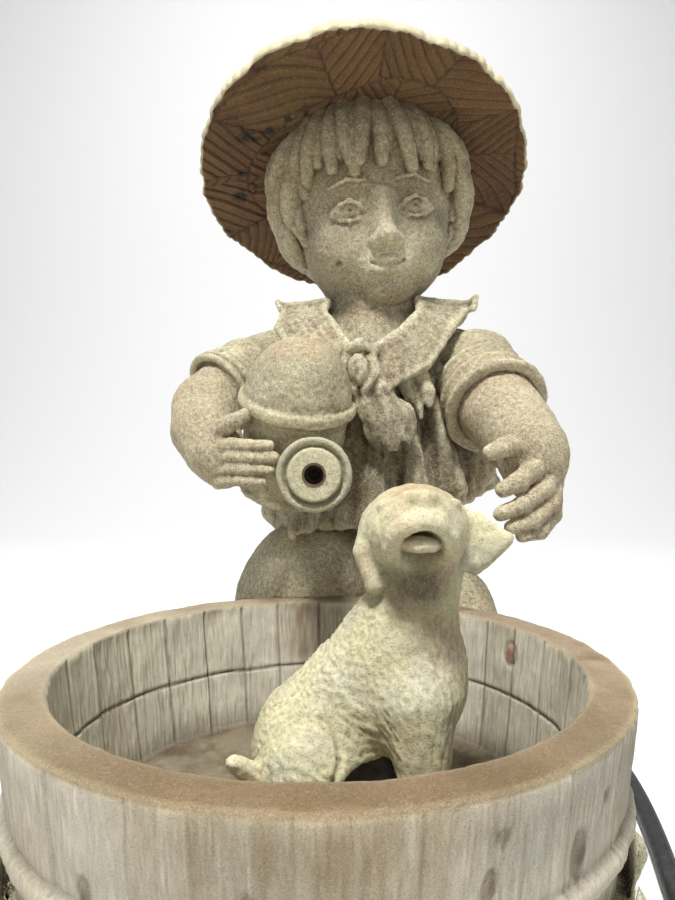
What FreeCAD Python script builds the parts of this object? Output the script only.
"""A cast-stone garden fountain: a child kneels behind a wash tub and pours a watering can over a puppy.

The puppy is a hollow cover that lifts off a submersible pump.  The pump draws water from the tub and sends
it up a tube inside the child, through the can, and out of the spout.  Its mains lead leaves the tub's wall
through a rubber bung, crosses the base and comes out at the rear right.

Frame: millimetres, +Z up, origin on the tub's axis at the bottom of the base, front of the tub towards -Y.
"""

import FreeCAD, Part
import Sketcher
import math
import os
import re

V = FreeCAD.Vector
X_AXIS, Y_AXIS, Z_AXIS = V(1, 0, 0), V(0, 1, 0), V(0, 0, 1)

doc = FreeCAD.newDocument("fountain")

# ---------------------------------------------------------------- driving dimensions

SIZES = {
    # wash tub
    "rim_radius": 100,
    "rim_height": 95,
    "rim_inner_radius": 86.4,
    "tub_foot_radius": 93,
    "tub_under_height": 34,
    "basin_floor": 42,
    "basin_floor_radius": 80,
    "hoop_height": 58,
    "hoop_width": 7,
    "hoop_proud": 2.4,
    # base
    "base_radius": 104,
    "base_top_radius": 97,
    "front_mound_height": 46,
    "rear_mound_radius": 78,
    "rear_mound_top_radius": 72,
    "rear_mound_height": 50,
    "rear_mound_y": 135,
    # child
    "figure_x": 27,
    "figure_y": 138,
    "torso_half_width": 46,
    "torso_half_depth": 33,
    "torso_half_height": 62,
    "torso_mid_height": 172,
    "hem_height": 114,
    "hem_radius": 56,
    "waist_height": 158,
    "waist_radius": 42,
    "shoulder_half_width": 56,
    "shoulder_height": 210,
    "head_half_width": 50,
    "head_half_depth": 48,
    "head_half_height": 53,
    "head_mid_height": 294,
    "neck_radius": 24,
    "neck_foot_height": 222,
    "dowel_radius": 3,
    # straw hat
    "hat_y": 145,
    "hat_height": 315,
    "brim_radius": 89.5,
    "brim_thickness": 7,
    "brim_dish": 10,
    "crown_radius": 54,
    "crown_rise": 40,
    "hat_tilt": 25.5,
    # watering can
    "can_radius": 26,
    "can_foot_radius": 23,
    "can_x": -13,
    "can_y": 89,
    "can_height": 189,
    "can_body_length": 46,
    "can_band_radius": 28.5,
    "can_band_width": 6,
    "can_dome_rise": 31,
    "can_tilt": 24,
    "can_lean": 8,
    "spout_root_radius": 14,
    "spout_neck_radius": 9.5,
    "spout_length": 38,
    "rose_radius": 16,
    "rose_boss_radius": 11.3,
    "rose_depth": 9.5,
    "rose_face_y": 43,
    # water line
    "jet_x": -3.6,
    "jet_height": 156,
    "riser_y": 118,
    "tube_radius": 5,
    "tube_bore_radius": 3.5,
    "tube_bend_radius": 20,
    "outlet_height": 60,
    "nozzle_bore_radius": 4,
    "nozzle_length": 14,
    "wall_x": 1.4,
    "wall_height": 51,
    "tube_bung_radius": 7.2,
    "tube_bung_y": 76.8,
    "lead_bung_radius": 7.9,
    "lead_bung_y": 71,
    "bung_end_y": 88,
    "bung_lip": 1.3,
    "bung_flange": 2.5,
    # pump
    "pump_front_x": -11,
    "pump_joint_x": 1,
    "pump_rear_x": 31,
    "pump_side_y": -10,
    "pump_width": 32,
    "pump_foot_height": 46,
    "pump_tall": 28,
    "pump_wall": 2,
    "pump_axis_y": 6,
    "well_radius": 6.3,
    "well_wall": 1.2,
    "well_end_x": 17,
    "magnet_radius": 5.8,
    "shaft_radius": 1.15,
    "shaft_clearance": 0.05,
    "chamber_radius": 12.2,
    "chamber_bore_radius": 10.6,
    "impeller_radius": 9.6,
    "inlet_radius": 5.6,
    "chamber_wall": 1.5,
    "seal_width": 1,
    "shaft_start_x": -7,
    "shaft_length": 24,
    "bush_radius": 2.4,
    "boss_radius": 3.4,
    "pole_width": 5.5,
    "pole_tall": 10,
    "corner_radius": 3,
    "slot_width": 1.2,
    "cup_radius": 5,
    "cup_stem_radius": 1.8,
    # mains lead
    "lead_radius": 4.2,
    "lead_x": 22,
    "lead_height": 58,
    "lead_bend_radius": 34,
    "lead_exit_x": 84,
    "lead_exit_y": 175,
    "lead_exit_height": 12,
    "relief_barrel": 6,
    "relief_flange_radius": 9,
    "relief_length": 17,
    "coil_x": 205,
    "coil_y": -45,
    "coil_radius": 48,
    "tie_thickness": 0.8,
    "plug_nose_length": 16,
    "plug_length": 39,
    "plug_width": 25,
    "plug_tall": 22,
    "blade_length": 17,
    "blade_spacing": 12.7,
    "blade_thickness": 1.5,
    "blade_width": 6.3,
    "ground_pin_radius": 2.4,
    "ground_pin_offset": 11.9,
    # puppy
    "puppy_x": 14,
    "puppy_y": 6,
    "cover_gap": 1.5,
    "dial_room": 2.5,
    # gaps between pieces
    "fit_gap": 0.05,
    "passage_gap": 0.4,
}

sizes = doc.addObject("Spreadsheet::Sheet", "sizes")
for row, (alias, number) in enumerate(SIZES.items(), start=1):
    sizes.set(f"A{row}", alias)
    sizes.set(f"B{row}", str(number))
    sizes.setAlias(f"B{row}", alias)
doc.recompute()

# ---------------------------------------------------------------- how pieces are made


def linked(expression):
    """The expression with each driving dimension named as the sheet names it."""
    return re.sub(
        r"[a-z][a-z0-9_]*",
        lambda word: "sizes." + word.group() if word.group() in SIZES else word.group(),
        str(expression),
    )


def number(expression):
    """What an expression in the driving dimensions comes to."""
    found = sizes.evalExpression(linked(expression))
    return float(getattr(found, "Value", found))


def bind(thing, **expressions):
    """Ties each named property of a thing to an expression in the driving dimensions."""
    for name, expression in expressions.items():
        thing.setExpression(name, linked(expression))
    return thing


def place(thing, at=("0", "0", "0"), towards=Z_AXIS):
    """Moves a thing's own origin to a point and turns its own Z towards a direction."""
    thing.Placement = FreeCAD.Placement(V(), FreeCAD.Rotation(Z_AXIS, towards))
    for letter, expression in zip("xyz", at):
        thing.setExpression("Placement.Base." + letter, linked(expression))
    return thing


def primitive(kind, label, at=("0", "0", "0"), towards=Z_AXIS, **expressions):
    thing = doc.addObject("Part::" + kind, label)
    return place(bind(thing, **expressions), at, towards)


def cylinder(label, radius, height, at, towards=Z_AXIS):
    return primitive("Cylinder", label, at, towards, Radius=radius, Height=height)


def cone(label, foot, top, height, at, towards=Z_AXIS):
    return primitive("Cone", label, at, towards, Radius1=foot, Radius2=top, Height=height)


def box(label, low, size):
    return primitive("Box", label, low, Length=size[0], Width=size[1], Height=size[2])


def ball(label, at, radius):
    return primitive("Sphere", label, at, Radius=radius)


def ellipsoid(label, at, half, towards=Z_AXIS):
    """half is the half extent along the piece's own X, Y and Z."""
    return primitive(
        "Ellipsoid", label, at, towards, Radius2=half[0], Radius3=half[1], Radius1=half[2]
    )


def fuse(label, *things):
    fused = doc.addObject("Part::MultiFuse", label)
    fused.Shapes = list(things)
    return fused


def cut(label, base, *tools):
    """The base less every tool."""
    result = doc.addObject("Part::Cut", label)
    result.Base = base
    result.Tool = tools[0] if len(tools) == 1 else fuse(label + "_tools", *tools)
    return result


def origin_plane(body, role):
    return next(f for f in body.Origin.OriginFeatures if f.Role == role)


def sketch_on(body, role, label):
    sketch = body.newObject("Sketcher::SketchObject", label)
    sketch.AttachmentSupport = [(origin_plane(body, role), "")]
    sketch.MapMode = "FlatFace"
    return sketch


def draw_outline(sketch, points):
    """A closed outline whose corners are tied to expressions, one pair (across, up) for each."""
    first = sketch.GeometryCount
    corners = [V(number(across), number(up), 0) for across, up in points]
    total = len(points)
    for i in range(total):
        sketch.addGeometry(Part.LineSegment(corners[i], corners[(i + 1) % total]))
    for i in range(total):
        following = first + (i + 1) % total
        sketch.addConstraint(Sketcher.Constraint("Coincident", first + i, 2, following, 1))
    for i, pair in enumerate(points):
        for kind, expression in zip(("DistanceX", "DistanceY"), pair):
            rule = Sketcher.Constraint(kind, -1, 1, first + i, 1, number(expression))
            index = sketch.addConstraint(rule)
            sketch.setExpression(f"Constraints[{index}]", linked(expression))


def revolved(label, profile, at=("0", "0", "0"), towards=Z_AXIS):
    """A body turned about its own Z from a profile of (radius, height) corners."""
    body = doc.addObject("PartDesign::Body", label)
    sketch = sketch_on(body, "XZ_Plane", label + "_profile")
    draw_outline(sketch, profile)
    turn = body.newObject("PartDesign::Revolution", label + "_turn")
    turn.Profile = sketch
    turn.ReferenceAxis = (sketch, ["V_Axis"])
    turn.Angle = 360
    return place(body, at, towards)


def rounded(label, base, radius, along):
    """The base with every straight edge that runs along a direction rounded."""
    doc.recompute()
    fillet = doc.addObject("Part::Fillet", label)
    fillet.Base = base
    edges = []
    for index, edge in enumerate(base.Shape.Edges, start=1):
        direction = edge.tangentAt(edge.FirstParameter)
        if abs(direction.dot(along)) > 0.999:
            edges.append((index, number(radius), number(radius)))
    fillet.Edges = edges
    return fillet


def limb(label, joints):
    """A tapering limb of cones and balls through (place, radius) joints; each place is three expressions."""
    pieces = []
    for i, (place_now, radius) in enumerate(joints):
        pieces.append(ball(f"{label}_joint_{i + 1}", place_now, radius))
    for i in range(len(joints) - 1):
        (start, radius_start), (end, radius_end) = joints[i], joints[i + 1]
        run = V(*map(number, end)) - V(*map(number, start))
        name = f"{label}_bone_{i + 1}"
        pieces.append(cone(name, radius_start, radius_end, run.Length, start, run))
    return fuse(label, *pieces)


def route_wire(points, radii):
    """Straight runs joined by tangent arcs, one radius for each inner point."""
    edges, last = [], points[0]
    for i in range(1, len(points) - 1):
        back = (points[i - 1] - points[i]).normalize()
        ahead = (points[i + 1] - points[i]).normalize()
        half = (math.pi - back.getAngle(ahead)) / 2
        reach = radii[i - 1] * math.tan(half)
        start, end = points[i] + back * reach, points[i] + ahead * reach
        inward = (back + ahead).normalize()
        middle = points[i] + inward * (radii[i - 1] / math.cos(half) - radii[i - 1])
        if (start - last).Length > 1e-6:
            edges.append(Part.LineSegment(last, start).toShape())
        edges.append(Part.Arc(start, middle, end).toShape())
        last = end
    edges.append(Part.LineSegment(last, points[-1]).toShape())
    return Part.Wire(edges)


def swept(label, wire, radius, bore=None):
    """A Part::Feature swept round along a wire, hollow where a bore is given."""
    first = wire.Edges[0]
    start = first.valueAt(first.FirstParameter)
    direction = first.tangentAt(first.FirstParameter)
    radii = [number(size) for size in (radius, bore) if size is not None]
    solids = []
    for size in radii:
        ring = Part.Wire(Part.makeCircle(size, start, direction))
        solids.append(wire.makePipeShell([ring], True, False))
    shape = solids[0] if bore is None else solids[0].cut(solids[1])
    feature = doc.addObject("Part::Feature", label)
    feature.Shape = shape
    section = math.pi * (radii[0] ** 2 - sum(size**2 for size in radii[1:]))
    if abs(shape.Volume - section * wire.Length) > 0.01 * section * wire.Length:
        raise RuntimeError(f"{label}: swept volume {shape.Volume:.0f} is not {section * wire.Length:.0f}")
    return feature


def point(*expressions):
    return V(*map(number, expressions))


# ---------------------------------------------------------------- passages through the castings


def riser_path():
    """The water tube's centreline: out of the pump, down to the wall, up inside the child, to the spout."""
    corners = [
        point("jet_x", "pump_side_y + pump_width + 2", "outlet_height"),
        point("jet_x", "pump_side_y + pump_width + 16", "outlet_height"),
        point("wall_x", "tube_bung_y - 8", "wall_height"),
        point("wall_x", "riser_y", "wall_height"),
        point("jet_x", "riser_y", "jet_height"),
        point("jet_x", "rose_face_y + nozzle_length", "jet_height"),
    ]
    return route_wire(corners, [number("tube_bend_radius")] * 4)


def inner_lead_path():
    """The lead inside the object: pump, tub wall, down and across the base to the rear right."""
    corners = [
        point("lead_x", "pump_side_y + pump_width", "lead_height"),
        point("lead_x", "lead_exit_y - 30", "lead_height"),
        point("lead_x + 12", "lead_exit_y", "lead_exit_height"),
        point("lead_exit_x", "lead_exit_y", "lead_exit_height"),
    ]
    return route_wire(corners, [number("lead_bend_radius")] * 2)


def passages():
    """Clearance holes for the water tube and the lead, and the recess that its strain relief seats in."""
    start = [point("wall_x", "72", "wall_height"), point("wall_x", "riser_y", "wall_height")]
    end = [point("jet_x", "riser_y", "jet_height"), point("jet_x", "rose_face_y - 5", "jet_height")]
    water = route_wire(start + end, [number("tube_bend_radius")] * 2)
    relief_start = ("lead_exit_x - relief_barrel - 0.5", "lead_exit_y", "lead_exit_height")
    exit_place = ("lead_exit_x", "lead_exit_y", "lead_exit_height")
    barrel_room = "relief_flange_radius - 2 + fit_gap"
    return (
        swept("water_passage", water, "tube_radius + passage_gap"),
        swept("lead_passage", inner_lead_path(), "lead_radius + passage_gap"),
        cylinder("relief_hole", barrel_room, "20", relief_start, X_AXIS),
        cylinder("relief_recess", "relief_flange_radius + 0.6", "40", exit_place, X_AXIS),
    )


# ---------------------------------------------------------------- castings


def wash_tub(parts):
    """A coopered-look tub with a raised hoop, and two holes in its back wall for the bungs."""
    hoop_foot = "tub_foot_radius + 2.8"
    tub = revolved(
        "wash_tub_blank",
        [
            ("0", "tub_under_height"),
            ("tub_foot_radius", "tub_under_height"),
            (hoop_foot, "hoop_height"),
            (f"{hoop_foot} + hoop_proud", "hoop_height + 1.5"),
            (f"{hoop_foot} + 0.6 + hoop_proud", "hoop_height + hoop_width - 1.5"),
            (f"{hoop_foot} + 0.8", "hoop_height + hoop_width"),
            ("rim_radius", "rim_height - 2"),
            ("rim_radius - 2", "rim_height"),
            ("rim_inner_radius + 1.5", "rim_height"),
            ("rim_inner_radius", "rim_height - 1.5"),
            ("basin_floor_radius", "basin_floor"),
            ("0", "basin_floor"),
        ],
    )
    water_place, lead_place = ("wall_x", "60", "wall_height"), ("lead_x", "60", "lead_height")
    water = cylinder("tube_wall_hole", "tube_bung_radius + fit_gap", "60", water_place, Y_AXIS)
    lead = cylinder("lead_wall_hole", "lead_bung_radius + fit_gap", "60", lead_place, Y_AXIS)
    parts["wash_tub"] = cut("wash_tub", tub, water, lead)


def tub_seat():
    """The space that the tub takes out of the base and the child: its outside, opened above the hoop."""
    clear_of_hoop = "tub_foot_radius + 3.4 + hoop_proud + 0.6"
    return revolved(
        "tub_seat",
        [
            ("0", "tub_under_height"),
            ("tub_foot_radius", "tub_under_height"),
            ("tub_foot_radius + 2.8", "hoop_height"),
            (clear_of_hoop, "hoop_height"),
            (clear_of_hoop, "rim_height - 10"),
            ("rim_radius + 0.5", "rim_height"),
            ("rim_radius + 0.5", "rim_height + 90"),
            ("0", "rim_height + 90"),
        ],
    )


def ground_base(parts, seat, holes):
    """The turf mound that carries the tub, joined to the one behind it that the child kneels on."""
    front = cone("front_mound", "base_radius", "base_top_radius", "front_mound_height", ("0", "0", "0"))
    rear = cone(
        "rear_mound",
        "rear_mound_radius",
        "rear_mound_top_radius",
        "rear_mound_height",
        ("figure_x", "rear_mound_y", "0"),
    )
    parts["ground_base"] = cut("ground_base", fuse("mound", front, rear), seat, *holes)


def kneeling_legs(parts, seat, holes, dowel):
    """Shorts and legs: the right knee is raised behind the tub, and the left one rests on the ground."""
    knee_x, resting_x, seat_y = "figure_x - 37", "figure_x + 43", "figure_y + 22"
    pieces = [
        ellipsoid("raised_knee", (knee_x, "figure_y - 12", "93"), ("30", "34", "34")),
        cone("raised_shin", "22", "24", "46", (knee_x, "figure_y - 10", "rear_mound_height - 4")),
        ellipsoid("resting_knee", (resting_x, "figure_y - 12", "72"), ("25", "36", "26")),
        ellipsoid("seat_of_shorts", ("figure_x", seat_y, "86"), ("54", "38", "46")),
        ellipsoid("lap", ("figure_x", "figure_y - 4", "86"), ("48", "32", "38")),
    ]
    below = box("below_ground", ("-150", "0", "-20"), ("300", "300", "rear_mound_height + 20"))
    blank = fuse("legs_blank", *pieces)
    parts["kneeling_legs"] = cut("kneeling_legs", blank, below, seat, dowel, *holes)


def head(parts, dowel):
    """Skull and neck; the face and hair are on its surface."""
    middle_x = "figure_x - 2"
    skull = ellipsoid(
        "skull",
        (middle_x, "figure_y + 2", "head_mid_height"),
        ("head_half_width", "head_half_depth", "head_half_height"),
    )
    neck = cylinder("neck", "neck_radius", "40", (middle_x, "figure_y", "neck_foot_height"))
    parts["head"] = cut("head", fuse("head_blank", skull, neck), dowel)


def torso(parts, holes, dowels):
    """A shirt: flared hem, narrow waist and round shoulders."""
    chest = ellipsoid(
        "chest",
        ("figure_x", "figure_y", "torso_mid_height"),
        ("torso_half_width", "torso_half_depth", "torso_half_height"),
    )
    shoulders = ellipsoid(
        "shoulders",
        ("figure_x", "figure_y", "shoulder_height"),
        ("shoulder_half_width", "27", "22"),
    )
    hem = cone(
        "hem",
        "hem_radius",
        "waist_radius",
        "waist_height - hem_height",
        ("figure_x", "figure_y + 4", "hem_height"),
    )
    neighbours = (parts["kneeling_legs"], parts["head"], parts["watering_can"])
    parts["torso"] = cut("torso", fuse("torso_blank", chest, shoulders, hem), *neighbours, *dowels, *holes)


def can_direction():
    """The can's own axis, tilted forward over the tub and leaning a little towards the child's left."""
    tilt, lean = math.radians(number("can_tilt")), math.radians(number("can_lean"))
    return V(math.sin(lean), -math.sin(tilt), math.cos(tilt))


def watering_can(parts, holes):
    """Tilted can with a band and a domed cover, a short spout, and the round rose that faces forward."""
    centre = ("can_x", "can_y", "can_height")
    up = can_direction()
    body = revolved(
        "can_body",
        [
            ("0", "-can_body_length"),
            ("can_foot_radius", "-can_body_length"),
            ("can_radius", "0"),
            ("can_band_radius", "0"),
            ("can_band_radius", "can_band_width"),
            ("can_radius", "can_band_width"),
            ("can_radius", "can_band_width + 1"),
            ("0", "can_band_width + 1"),
        ],
        centre,
        up,
    )
    dome = ellipsoid(
        "can_dome", centre, ("can_radius - 0.5", "can_radius - 0.5", "can_band_width + can_dome_rise"), up
    )
    below = cylinder("below_dome", "60", "60", centre, -up)
    spout = cone(
        "can_spout",
        "spout_root_radius",
        "spout_neck_radius",
        "spout_length",
        ("jet_x", "rose_face_y + rose_depth + spout_length", "jet_height"),
        -Y_AXIS,
    )
    blank = fuse("can_blank", body, cut("can_cover", dome, below), spout)
    rose = revolved(
        "rose_blank",
        [
            ("0", "0"),
            ("spout_neck_radius", "0"),
            ("rose_radius", "rose_depth - 3.5"),
            ("rose_radius", "rose_depth - 1.5"),
            ("rose_boss_radius + 2", "rose_depth - 1.5"),
            ("rose_boss_radius + 1", "rose_depth - 3"),
            ("rose_boss_radius", "rose_depth"),
            ("0", "rose_depth"),
        ],
        ("jet_x", "rose_face_y + rose_depth", "jet_height"),
        -Y_AXIS,
    )
    parts["watering_can"] = cut("watering_can", blank, parts["kneeling_legs"], *holes)
    parts["spout_rose"] = cut("spout_rose", rose, *holes)


def arms(parts):
    """The arm round the can and the arm that reaches down to stroke the puppy."""
    right = limb(
        "right_arm_blank",
        [
            (("figure_x - 58", "figure_y", "shoulder_height - 2"), "21"),
            (("figure_x - 88", "figure_y - 24", "shoulder_height - 26"), "18"),
            (("can_x - 35", "can_y - 4", "can_height - 13"), "11"),
            (("can_x - 22", "can_y - 24", "can_height - 18"), "8"),
        ],
    )
    left = limb(
        "left_arm_blank",
        [
            (("figure_x + 47", "figure_y + 1.5", "shoulder_height + 1"), "22.5"),
            (("figure_x + 76", "figure_y - 25", "shoulder_height - 28"), "19"),
            (("figure_x + 72", "figure_y - 60", "shoulder_height - 51"), "12"),
            (("figure_x + 59", "figure_y - 82", "shoulder_height - 65"), "10"),
            (("figure_x + 49", "figure_y - 88", "shoulder_height - 68"), "8"),
        ],
    )
    neighbours = (parts["torso"], parts["watering_can"], parts["kneeling_legs"])
    parts["right_arm"] = cut("right_arm", right, *neighbours)
    parts["left_arm"] = cut("left_arm", left, parts["torso"])


def straw_hat(parts):
    """A wide straw brim, dished towards the round crown, pushed back on the head."""
    half, inner = "brim_thickness / 2", "crown_radius - 6"
    brim = revolved(
        "brim",
        [
            ("0", f"brim_dish - {half}"),
            (inner, f"brim_dish - {half}"),
            ("brim_radius - 1", f"-{half}"),
            ("brim_radius", "0"),
            ("brim_radius - 1", half),
            ("crown_radius", f"brim_dish + {half}"),
            ("0", f"brim_dish + {half}"),
        ],
    )
    crown_half = ("crown_radius", "crown_radius", "crown_rise")
    crown = ellipsoid("crown", ("0", "0", "brim_dish"), crown_half)
    below = cylinder("below_crown", "200", "100", ("0", "0", "brim_dish - 100"))
    blank = fuse("hat_blank", brim, cut("crown_dome", crown, below))
    blank.Placement.Rotation = FreeCAD.Rotation(X_AXIS, -number("hat_tilt"))
    for letter, expression in zip("xyz", ("figure_x - 7", "hat_y", "hat_height")):
        blank.setExpression("Placement.Base." + letter, linked(expression))
    parts["straw_hat"] = cut("straw_hat", blank, parts["head"])


def dog_cover(parts):
    """A sitting puppy cast hollow, open below and arched front and back, that drops over the pump."""
    leg_x = "puppy_x + 24"
    pieces = [
        ellipsoid("rump", ("puppy_x - 17", "puppy_y", "61"), ("25", "30", "26")),
        ellipsoid("back", ("puppy_x + 4", "puppy_y", "76"), ("31", "27", "26")),
        ellipsoid("chest_of_puppy", ("puppy_x + 17", "puppy_y", "84"), ("22", "25", "42")),
        ellipsoid("puppy_head", (leg_x, "puppy_y - 10", "136"), ("25", "21", "17")),
        cone("puppy_neck", "19", "15", "30", ("puppy_x + 20", "puppy_y - 4", "100"), V(0.1, -0.1, 1)),
        cone("near_foreleg", "8", "9", "40", (leg_x, "puppy_y - 22", "basin_floor")),
        cone("far_foreleg", "8", "9", "40", (leg_x, "puppy_y + 20", "basin_floor")),
    ]
    blank = fuse("puppy_blank", *pieces)
    inside = box(
        "puppy_inside",
        ("pump_front_x - dial_room", "pump_side_y - cover_gap", "0"),
        (
            "pump_rear_x - pump_front_x + cover_gap + dial_room",
            "pump_width + 2 * cover_gap",
            "pump_foot_height + pump_tall + cover_gap",
        ),
    )
    below = box("below_floor", ("-100", "-100", "0"), ("200", "200", "basin_floor"))
    arch = cylinder("front_arch", "9", "40", ("puppy_x + 3", "-40", "basin_floor + 10"), Y_AXIS)
    front_slot = box("front_slot", ("puppy_x - 6", "-40", "basin_floor - 1"), ("18", "40", "11"))
    slot_size = ("lead_x - jet_x + 18", "60", "outlet_height - 29")
    back_slot = box("back_slot", ("jet_x - 9", "10", "basin_floor - 1"), slot_size)
    parts["dog_cover"] = cut("dog_cover", blank, inside, below, arch, front_slot, back_slot)


def dowels():
    """Two steel rods that key the castings together."""
    neck = cylinder("neck_dowel", "dowel_radius", "50", ("figure_x - 2", "figure_y", "205"))
    waist = cylinder("waist_dowel", "dowel_radius", "70", ("figure_x + 18", "figure_y + 8", "80"))
    return neck, waist


# ---------------------------------------------------------------- water line


def riser(parts):
    """The tube inside the child, and the nozzle insert that it pushes on to behind the rose."""
    parts["riser_tube"] = swept("riser_tube", riser_path(), "tube_radius", "tube_bore_radius")
    barb, step = "tube_bore_radius", "1.5"
    parts["nozzle_insert"] = revolved(
        "nozzle_insert",
        [
            ("nozzle_bore_radius", "0"),
            ("tube_radius", "0"),
            ("tube_radius", "-nozzle_length"),
            (barb, "-nozzle_length"),
            (barb, "-nozzle_length - 8"),
            (f"{barb} - 1", "-nozzle_length - 8"),
            (f"{barb} - 1", f"-nozzle_length + {step}"),
            ("nozzle_bore_radius", f"-nozzle_length + {step}"),
        ],
        ("jet_x", "rose_face_y", "jet_height"),
        -Y_AXIS,
    )


def hose_clamp(parts):
    """A sprung band with two ears that grips the tube on the pump's spigot."""
    inner, outer, width = "tube_radius + fit_gap", "tube_radius + 1.1", "5"
    band = revolved(
        "clamp_band",
        [(inner, "0"), (outer, "0"), (outer, width), (inner, width)],
        ("jet_x", "pump_side_y + pump_width + 4", "outlet_height"),
        Y_AXIS,
    )
    ears = []
    for i, offset in enumerate((-1.8, 0.6)):
        low = (f"jet_x + {offset}", "pump_side_y + pump_width + 5", "outlet_height + tube_radius + 0.5")
        ears.append(box(f"clamp_ear_{i + 1}", low, ("1.2", "3", "4.5")))
    parts["hose_clamp"] = fuse("hose_clamp", band, *ears)


def bungs(parts):
    """Two flanged rubber bungs that seal the tube and the lead where they pass the tub's back wall."""
    for label, bore, body, across, height in (
        ("tube_bung", "tube_radius + fit_gap", "tube_bung_radius", "wall_x", "wall_height"),
        ("lead_bung", "lead_radius + fit_gap", "lead_bung_radius", "lead_x", "lead_height"),
    ):
        flange, length = f"{body} + bung_lip", f"bung_end_y - {label}_y"
        profile = [
            (bore, "0"),
            (flange, "0"),
            (flange, "bung_flange"),
            (body, "bung_flange"),
            (body, length),
            (bore, length),
        ]
        parts[label] = revolved(label, profile, (across, f"{label}_y", height), Y_AXIS)


# ---------------------------------------------------------------- pump


def motor(parts):
    """Housing with its rotor well, laminated core, coil and the resin that seals them in."""
    shell = box(
        "housing_box",
        ("pump_joint_x", "pump_side_y", "pump_foot_height"),
        ("pump_rear_x - pump_joint_x", "pump_width", "pump_tall"),
    )
    cavity_low = ("pump_joint_x + pump_wall", "pump_side_y + pump_wall", "pump_foot_height + pump_wall")
    cavity_size = (
        "pump_rear_x - pump_joint_x - pump_wall",
        "pump_width - 2 * pump_wall",
        "pump_tall - 2 * pump_wall",
    )
    axis_at = ("pump_joint_x", "pump_axis_y", "outlet_height")
    outer_shell = rounded("housing_rounded", shell, "corner_radius", X_AXIS)
    cavity = box("housing_cavity", cavity_low, cavity_size)
    well_tube = cylinder(
        "well_tube", "well_radius + well_wall", "well_end_x - pump_joint_x + well_wall", axis_at, X_AXIS
    )
    well_bore = cylinder("well_bore", "well_radius", "well_end_x - pump_joint_x", axis_at, X_AXIS)
    groove = revolved(
        "seal_groove",
        [
            ("chamber_bore_radius + 0.2", "0"),
            ("chamber_radius - 0.2", "0"),
            ("chamber_radius - 0.2", "seal_width"),
            ("chamber_bore_radius + 0.2", "seal_width"),
        ],
        axis_at,
        X_AXIS,
    )
    hollow = cut("housing_hollow", outer_shell, cavity)
    with_well = fuse("housing_and_well", hollow, well_tube)
    parts["motor_housing"] = cut("motor_housing", with_well, well_bore, groove)

    pole_low = "outlet_height - pole_tall / 2"
    poles = [
        box(f"core_arm_{i + 1}", ("4", y, pole_low), ("22.5", "pole_width", "pole_tall"))
        for i, y in enumerate(("pump_axis_y - 8 - pole_width", "pump_axis_y + 8"))
    ]
    yoke_size = ("5", "16 + 2 * pole_width", "pole_tall")
    yoke = box("core_yoke", ("21.5", "pump_axis_y - 8 - pole_width", pole_low), yoke_size)
    clear_well = cylinder("core_well_clearance", "well_radius + well_wall + fit_gap", "20", axis_at, X_AXIS)
    parts["stator_core"] = cut("stator_core", fuse("core_blank", *poles, yoke), clear_well)
    winding = box("winding_block", ("19", "pump_axis_y - 7", "outlet_height - 9"), ("10", "14", "18"))
    window = box("winding_window", ("21.4", "pump_axis_y - 8", "outlet_height - 5.1"), ("5.2", "16", "10.2"))
    parts["coil_winding"] = cut("coil_winding", winding, window)
    resin = box("resin_block", cavity_low, cavity_size)
    parts["potting_resin"] = cut(
        "potting_resin", resin, parts["stator_core"], parts["coil_winding"], parts["motor_housing"], well_bore
    )


def rotor(parts):
    """Ceramic shaft with its two rubber bushes, and the magnet and impeller that spin on it."""
    centre = ("pump_axis_y", "outlet_height")
    parts["ceramic_shaft"] = cylinder(
        "ceramic_shaft", "shaft_radius", "shaft_length", ("shaft_start_x", *centre), X_AXIS
    )
    bore = "shaft_radius + shaft_clearance"
    parts["rotor_magnet"] = revolved(
        "rotor_magnet",
        [(bore, "0"), ("magnet_radius", "0"), ("magnet_radius", "12"), (bore, "12")],
        ("3", *centre),
        X_AXIS,
    )
    hub = revolved(
        "impeller_hub",
        [
            (bore, "0"),
            ("3.2", "0"),
            ("3.2", "3.8"),
            ("impeller_radius", "3.8"),
            ("impeller_radius", "4.8"),
            ("4", "4.8"),
            ("4", "8.3"),
            (bore, "8.3"),
        ],
        ("-5.3", *centre),
        X_AXIS,
    )
    vanes = []
    for i in range(6):
        vane = box(f"vane_{i + 1}", ("-5.3", "0", "0"), ("4", "impeller_radius - 2.8", "1"))
        turn = FreeCAD.Rotation(X_AXIS, 60 * i)
        vane.Placement.Rotation = turn
        offset = turn.multVec(V(0, 2.6, -0.5))
        vane.setExpression("Placement.Base.y", linked(f"pump_axis_y + {offset.y}"))
        vane.setExpression("Placement.Base.z", linked(f"outlet_height + {offset.z}"))
        vanes.append(vane)
    parts["impeller"] = fuse("impeller", hub, *vanes)
    parts["rear_bush"] = revolved(
        "rear_bush",
        [("shaft_radius", "0"), ("well_radius", "0"), ("well_radius", "1.4"), ("shaft_radius", "1.4")],
        ("well_end_x - 1.4", *centre),
        X_AXIS,
    )
    parts["front_bush"] = revolved(
        "front_bush",
        [
            ("shaft_radius", "0"),
            ("bush_radius", "0"),
            ("bush_radius", "chamber_wall"),
            ("shaft_radius", "chamber_wall"),
        ],
        ("shaft_start_x - 0.5", *centre),
        X_AXIS,
    )


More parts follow.
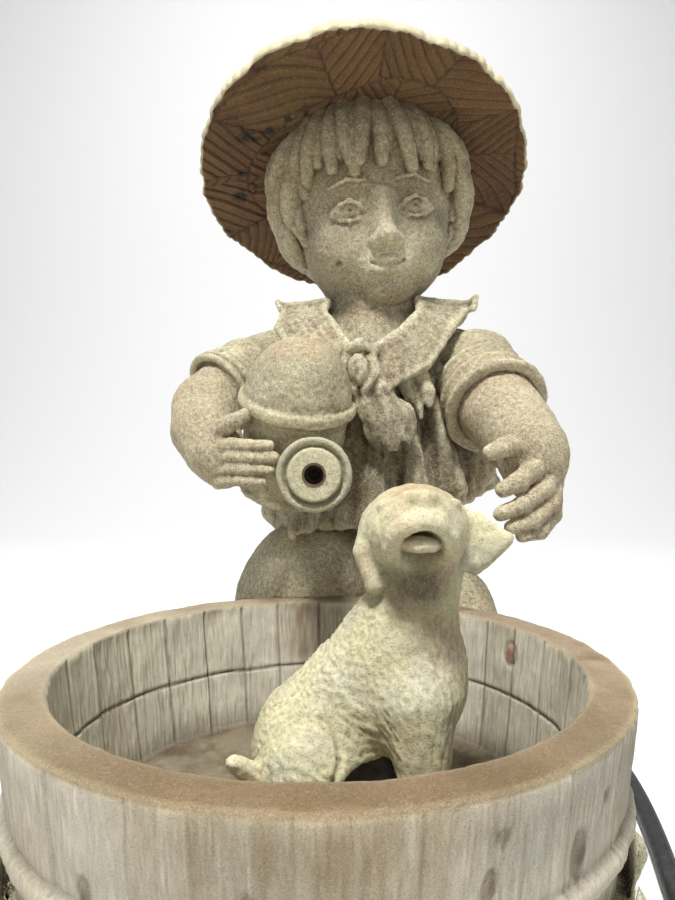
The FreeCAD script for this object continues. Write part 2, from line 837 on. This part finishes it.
def pump_front(parts):
    """Impeller chamber with its spoked inlet, its outlet spigot and its seal."""
    centre = ("pump_axis_y", "outlet_height")
    shell = revolved(
        "chamber_shell",
        [
            ("inlet_radius", "0"),
            ("chamber_radius", "0"),
            ("chamber_radius", "8.5"),
            ("chamber_bore_radius", "8.5"),
            ("chamber_bore_radius", "chamber_wall"),
            ("inlet_radius", "chamber_wall"),
        ],
        ("shaft_start_x - 0.5", *centre),
        X_AXIS,
    )
    boss = revolved(
        "bush_boss",
        [
            ("bush_radius", "0"),
            ("boss_radius", "0"),
            ("boss_radius", "chamber_wall"),
            ("bush_radius", "chamber_wall"),
        ],
        ("shaft_start_x - 0.5", *centre),
        X_AXIS,
    )
    spokes = []
    for i in range(3):
        spoke = box(f"spoke_{i + 1}", ("shaft_start_x - 0.5", "0", "0"), ("chamber_wall", "3.2", "1.2"))
        turn = FreeCAD.Rotation(X_AXIS, 120 * i + 90)
        spoke.Placement.Rotation = turn
        offset = turn.multVec(V(0, 3, -0.6))
        spoke.setExpression("Placement.Base.y", linked(f"pump_axis_y + {offset.y}"))
        spoke.setExpression("Placement.Base.z", linked(f"outlet_height + {offset.z}"))
        spokes.append(spoke)
    spigot = revolved(
        "outlet_spigot",
        [
            ("0", "0"),
            ("4.3", "0"),
            ("4.3", "8"),
            ("tube_bore_radius", "8"),
            ("tube_bore_radius", "17"),
            ("0", "17"),
        ],
        ("jet_x", "pump_axis_y + 10", "outlet_height"),
        Y_AXIS,
    )
    bore_place = ("jet_x", "pump_axis_y + 4", "outlet_height")
    spigot_bore = cylinder("spigot_bore", "tube_bore_radius - 1", "30", bore_place, Y_AXIS)
    rotor_room = cylinder("rotor_room", "chamber_bore_radius", "7", ("-6", *centre), X_AXIS)
    parts["impeller_chamber"] = cut(
        "impeller_chamber", fuse("chamber_blank", shell, boss, *spokes, spigot), spigot_bore, rotor_room
    )
    parts["chamber_seal"] = revolved(
        "chamber_seal",
        [
            ("chamber_bore_radius + 0.2", "0"),
            ("chamber_radius - 0.2", "0"),
            ("chamber_radius - 0.2", "seal_width"),
            ("chamber_bore_radius + 0.2", "seal_width"),
        ],
        ("pump_joint_x", *centre),
        X_AXIS,
    )


def strainer(parts):
    """The slotted cover that the water comes in by, with two windows behind the flow dial."""
    depth, wall = "pump_joint_x - pump_front_x", "chamber_wall"
    low = ("pump_front_x", "pump_side_y", "pump_foot_height")
    block = box("strainer_box", low, (depth, "pump_width", "pump_tall"))
    shell_block = rounded("strainer_rounded", block, "corner_radius", X_AXIS)
    room = box(
        "strainer_room",
        [f"{side} + {wall}" for side in low],
        (depth, f"pump_width - 2 * {wall}", f"pump_tall - 2 * {wall}"),
    )
    slots = []
    for i in range(4):
        for side in (0, 1):
            along = f"pump_side_y + 3.2 + {i * 2.2 + side * 19}"
            slots.append(
                box(
                    f"strainer_slot_{i + 1}_{side + 1}",
                    ("pump_front_x - 1", along, "pump_foot_height + 4"),
                    ("4", "slot_width", "pump_tall - 8"),
                )
            )
    side_slots = [
        box(
            f"strainer_side_slot_{i + 1}",
            (f"pump_front_x + 3 + {i * 2.4}", "pump_side_y - 1", "pump_foot_height + 5"),
            ("slot_width", "4", "pump_tall - 10"),
        )
        for i in range(3)
    ]
    windows = [
        cylinder(
            f"strainer_window_{i + 1}",
            "1.6",
            "4",
            ("pump_front_x - 1", "pump_axis_y", f"outlet_height + {offset}"),
            X_AXIS,
        )
        for i, offset in enumerate((-4, 4))
    ]
    pivot_place = ("pump_front_x - 1", "pump_axis_y", "outlet_height")
    pivot = cylinder("dial_pivot_hole", "1.3", "4", pivot_place, X_AXIS)
    outlet_place = ("jet_x", "pump_side_y + pump_width - 4", "outlet_height")
    outlet = cylinder("strainer_outlet_hole", "4.5", "10", outlet_place, Y_AXIS)
    openings = (*slots, *side_slots, *windows, pivot, outlet)
    parts["intake_strainer"] = cut("intake_strainer", shell_block, room, *openings)


def flow_dial(parts):
    """A small disc that turns over the strainer's two windows, with a grip across it."""
    centre = ("pump_axis_y", "outlet_height")
    disc = cylinder("dial_disc", "6", "1", ("pump_front_x - 1.1", *centre), X_AXIS)
    grip = box(
        "dial_grip", ("pump_front_x - 2.1", "pump_axis_y - 5", "outlet_height - 0.6"), ("1.2", "10", "1.2")
    )
    pin = cylinder("dial_pin", "1.25", "3.5", ("pump_front_x - 1", *centre), X_AXIS)
    dial_holes = [
        cylinder(
            f"dial_hole_{i + 1}",
            "1.5",
            "4",
            ("pump_front_x - 3", "pump_axis_y", f"outlet_height + {offset}"),
            X_AXIS,
        )
        for i, offset in enumerate((-4, 4))
    ]
    parts["flow_dial"] = cut("flow_dial", fuse("dial_blank", disc, grip, pin), *dial_holes)


def pump_fittings(parts):
    """Rubber boot where the lead enters, and four suction cups."""
    parts["cable_gland"] = revolved(
        "cable_gland",
        [
            ("lead_radius + fit_gap", "0"),
            ("7.4", "0"),
            ("7.4", "3"),
            ("6.4", "3"),
            ("5.6", "14"),
            ("lead_radius + fit_gap", "14"),
        ],
        ("lead_x", "pump_side_y + pump_width", "lead_height"),
        Y_AXIS,
    )
    cups = []
    for i, (across, along) in enumerate(((5, -5), (26, -5), (5, 17), (26, 17))):
        cups.append(
            revolved(
                f"suction_cup_{i + 1}",
                [
                    ("0", "1.6"),
                    ("cup_radius", "0"),
                    ("cup_radius", "0.6"),
                    ("cup_stem_radius", "2.2"),
                    ("cup_stem_radius", "pump_foot_height - basin_floor"),
                    ("0", "pump_foot_height - basin_floor"),
                ],
                (str(across), str(along), "basin_floor"),
            )
        )
    parts["suction_cups"] = fuse("suction_cups", *cups)


# ---------------------------------------------------------------- mains lead

# Centreline of the free lead, from the base's rear right, forward beside the tub and round into the coil.
LEAD_ROUTE = [
    V(84, 175, 12),
    V(114, 175, 12),
    V(138.5, 159.2, 8),
    V(150.5, 133.2, 5),
    V(149.8, 106, 4.3),
    V(145.5, 78.5, 4.3),
    V(138.5, 48, 4.3),
    V(130.5, 19, 4.3),
    V(122.5, -12, 4.3),
    V(120, -43, 4.3),
    V(124.5, -67, 4.5),
    V(140, -88, 5),
    V(171.5, -100.5, 5),
    V(200.1, -101.2, 5),
]

# Centreline of the tail, off the top of the coil, over its outer turn and down to the plug.
TAIL_ROUTE = [
    V(252, -62.1, 13.5),
    V(260.9, -37.7, 14.2),
    V(257.3, -11.9, 13.6),
    V(242, 9.1, 11),
    V(219.9, 20.8, 11),
]


def route_radii(points):
    """One radius for each inner point, so that its arc takes up 0.45 of the shorter run beside it."""
    radii = []
    for before, here, after in zip(points, points[1:], points[2:]):
        incoming, outgoing = here - before, after - here
        half_turn = incoming.getAngle(outgoing) / 2
        radii.append(0.45 * min(incoming.Length, outgoing.Length) / math.tan(half_turn))
    return radii


def free_lead(parts):
    """The run beside the tub, the strain relief it leaves by, and the tail that ends in the plug."""
    for label, route in (("lead_run", LEAD_ROUTE), ("lead_tail", TAIL_ROUTE)):
        radii = route_radii(route)
        print(label, "bend radii, mm:", [round(radius) for radius in radii])
        parts[label] = swept(label, route_wire(route, radii), "lead_radius")
    bore, barrel = "lead_radius + fit_gap", "relief_flange_radius - 2"
    parts["strain_relief"] = revolved(
        "strain_relief",
        [
            (bore, "-relief_barrel"),
            (barrel, "-relief_barrel"),
            (barrel, "0"),
            ("relief_flange_radius", "0"),
            ("relief_flange_radius", "2.5"),
            (barrel, "2.5"),
            ("lead_radius + 1", "relief_length"),
            (bore, "relief_length"),
        ],
        ("lead_exit_x", "lead_exit_y", "lead_exit_height"),
        X_AXIS,
    )


def coil(parts):
    """The spare lead: three turns side by side on the ground and one on top, held by a tie."""
    half, tall, bevel = "lead_radius * 3", "lead_radius * 3.74", "corner_radius"
    parts["lead_coil"] = revolved(
        "lead_coil",
        [
            (f"coil_radius - {half}", bevel),
            (f"coil_radius - {half} + {bevel}", "0"),
            (f"coil_radius + {half} - {bevel}", "0"),
            (f"coil_radius + {half}", bevel),
            (f"coil_radius + {half}", f"{tall} - {bevel}"),
            (f"coil_radius + {half} - {bevel}", tall),
            (f"coil_radius - {half} + {bevel}", tall),
            (f"coil_radius - {half}", f"{tall} - {bevel}"),
        ],
        ("coil_x", "coil_y", "tie_thickness"),
    )
    block = box(
        "tie_block",
        ("coil_x - 6", f"coil_y + coil_radius - {half} - tie_thickness", "0"),
        ("12", f"2 * {half} + 2 * tie_thickness", f"{tall} + 2 * tie_thickness"),
    )
    parts["coil_tie"] = cut("coil_tie", block, parts["lead_coil"])


def turned(thing, at, turn):
    """Puts a thing at a worked-out place and turn."""
    for letter in "xyz":
        thing.setExpression("Placement.Base." + letter, None)
    thing.Placement = FreeCAD.Placement(at, turn)
    return thing


def mains_plug(parts):
    """A three-pin plug that lies on its side at the end of the tail."""
    start = TAIL_ROUTE[-1]
    along = (start - TAIL_ROUTE[-2]).normalize()
    turn = FreeCAD.Rotation(Z_AXIS.cross(along), Z_AXIS, along, "ZXY")
    nose = cone("plug_nose", "lead_radius + 1.5", "8", "plug_nose_length", ("0", "0", "0"))
    turned(nose, start, turn)
    corner = turn.multVec(point("-plug_width / 2", "-plug_tall / 2", "plug_nose_length - 1"))
    grip_size = ("plug_width", "plug_tall", "plug_length - plug_nose_length + 1")
    grip = box("plug_grip", ("0", "0", "0"), grip_size)
    turned(grip, start + corner, turn)
    parts["plug_body"] = fuse("plug_body", nose, grip)
    face = start + along * number("plug_length")
    blades = []
    for i, side in enumerate((-1, 1)):
        blade_size = ("blade_thickness", "blade_width", "blade_length")
        blade = box(f"plug_blade_{i + 1}", ("0", "0", "0"), blade_size)
        across = f"{side} * blade_spacing / 2 - blade_thickness / 2"
        offset = turn.multVec(point(across, "-blade_width / 2 - 4 + fit_gap", "0"))
        blades.append(turned(blade, face + offset, turn))
    parts["plug_blades"] = fuse("plug_blades", *blades)
    pin = cylinder("plug_ground_pin", "ground_pin_radius", "blade_length + 3", ("0", "0", "0"))
    offset = turn.multVec(point("0", "ground_pin_offset - 4", "0"))
    parts["plug_ground_pin"] = turned(pin, face + offset, turn)


# ---------------------------------------------------------------- the whole fountain


def check_and_write(parts):
    """Stops at anything that did not compute, then writes each piece to its own STEP file."""
    for thing in doc.Objects:
        if "Invalid" in thing.State or "Error" in thing.State:
            raise RuntimeError(f"{thing.Label} did not compute: {thing.State}")
    for name, thing in parts.items():
        thing.Label = name
        shape = thing.Shape
        if shape.isNull() or not shape.isValid() or not shape.Solids:
            raise RuntimeError(f"{name} has no valid solid")
    os.makedirs("parts", exist_ok=True)
    for name, thing in parts.items():
        thing.Shape.exportStep(os.path.join("parts", name + ".step"))
        print(f"{name}: {len(thing.Shape.Solids)} solid(s), {thing.Shape.Volume / 1000:.2f} cm3")


def main():
    parts = {}
    seat = tub_seat()
    holes = passages()
    water_only = holes[:1]
    neck_dowel, waist_dowel = dowels()
    parts["neck_dowel"], parts["waist_dowel"] = neck_dowel, waist_dowel
    wash_tub(parts)
    ground_base(parts, seat, holes)
    kneeling_legs(parts, seat, holes[:2], waist_dowel)
    head(parts, neck_dowel)
    watering_can(parts, water_only)
    torso(parts, water_only, (neck_dowel, waist_dowel))
    arms(parts)
    straw_hat(parts)
    dog_cover(parts)
    riser(parts)
    hose_clamp(parts)
    bungs(parts)
    motor(parts)
    rotor(parts)
    pump_front(parts)
    strainer(parts)
    flow_dial(parts)
    pump_fittings(parts)
    parts["lead_inner"] = swept("lead_inner", inner_lead_path(), "lead_radius")
    free_lead(parts)
    coil(parts)
    mains_plug(parts)
    doc.recompute()
    check_and_write(parts)


main()
